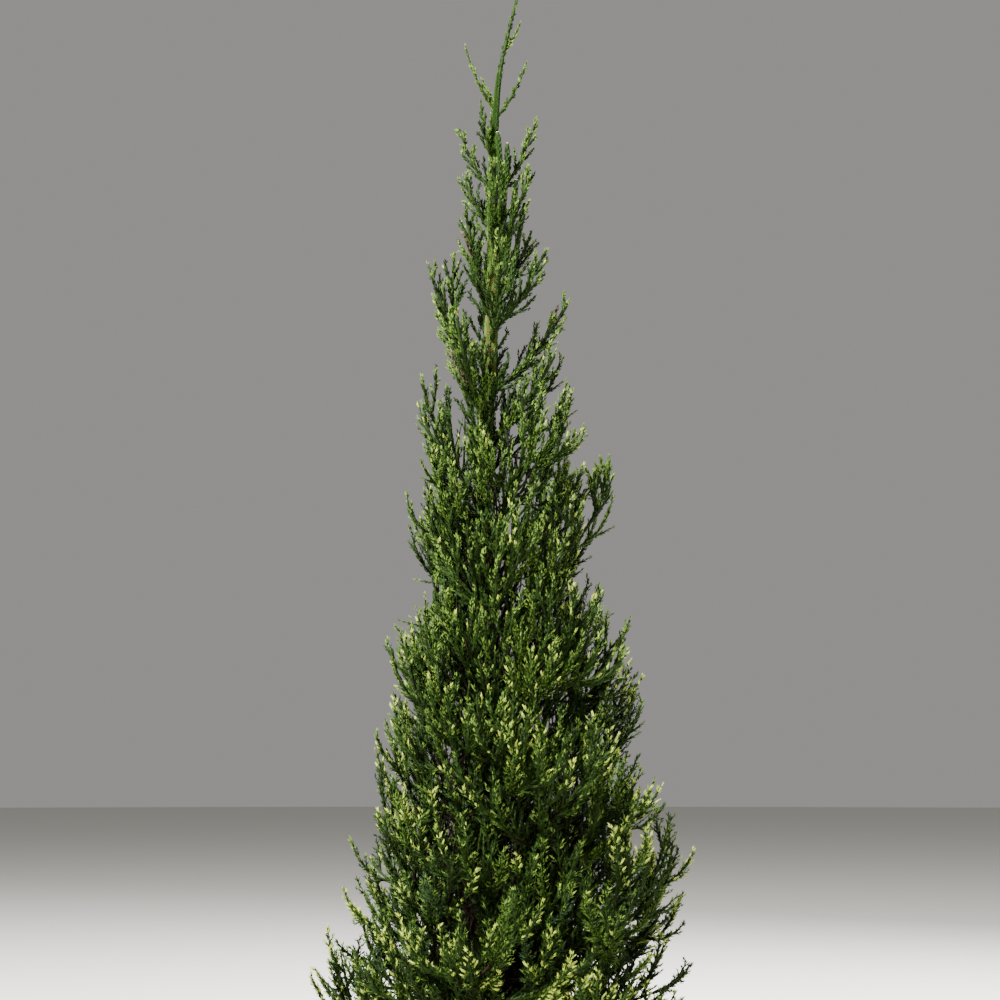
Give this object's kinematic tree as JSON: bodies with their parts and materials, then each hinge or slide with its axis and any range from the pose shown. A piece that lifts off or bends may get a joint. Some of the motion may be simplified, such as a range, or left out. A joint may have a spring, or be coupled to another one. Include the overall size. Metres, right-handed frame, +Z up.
{
  "type": "japanese cedar tree",
  "caption": "Young japanese cedar: a straight tapering trunk cut flat at the ground, short ascending boughs and a narrow spire of needled plumes over a dense cone.",
  "frame": {"origin": "middle of the flat cut under the trunk, at ground level", "axes": "+Z up along the trunk, +X to the right and +Y away from the viewer, as the picture looks at the tree"},
  "size_m": [0.665, 0.6822, 2.2],
  "materials": {
    "bark": "fibrous red-brown bark, green near the top",
    "bough_bark": "thin brown bark with green needle bases",
    "foliage": "satin green needles with yellow-green tips"
  },
  "bodies": {
    "root": {"trunk": "bark", "bough_20": "bough_bark", "bough_21": "bough_bark", "bough_22": "bough_bark", "bough_23": "bough_bark", "bough_24": "bough_bark", "bough_25": "bough_bark", "bough_26": "bough_bark", "bough_27": "bough_bark", "bough_28": "bough_bark", "foliage_leader": "foliage", "foliage_spire_1": "foliage", "foliage_spire_2": "foliage", "foliage_spire_3": "foliage", "foliage_spire_4": "foliage", "foliage_spire_5": "foliage", "foliage_spire_6": "foliage", "foliage_spire_7": "foliage", "foliage_spire_8": "foliage", "foliage_spire_9": "foliage", "foliage_spire_10": "foliage", "foliage_spire_11": "foliage", "foliage_spire_12": "foliage", "foliage_spire_13": "foliage", "foliage_spire_14": "foliage", "foliage_spire_15": "foliage", "foliage_spire_16": "foliage", "foliage_spire_17": "foliage", "foliage_spire_18": "foliage", "foliage_spire_19": "foliage", "foliage_spire_20": "foliage", "foliage_spire_21": "foliage", "foliage_1": "foliage", "foliage_2": "foliage", "foliage_3": "foliage", "foliage_4": "foliage", "foliage_5": "foliage", "foliage_6": "foliage", "foliage_7": "foliage", "foliage_8": "foliage", "foliage_9": "foliage", "foliage_10": "foliage", "foliage_11": "foliage", "foliage_12": "foliage", "foliage_13": "foliage", "foliage_14": "foliage", "foliage_15": "foliage", "foliage_16": "foliage", "foliage_17": "foliage", "foliage_18": "foliage", "foliage_19": "foliage", "foliage_20": "foliage", "foliage_21": "foliage", "foliage_22": "foliage", "foliage_23": "foliage", "foliage_24": "foliage", "foliage_25": "foliage", "foliage_26": "foliage", "foliage_27": "foliage", "foliage_28": "foliage"}
  },
  "joints": []
}
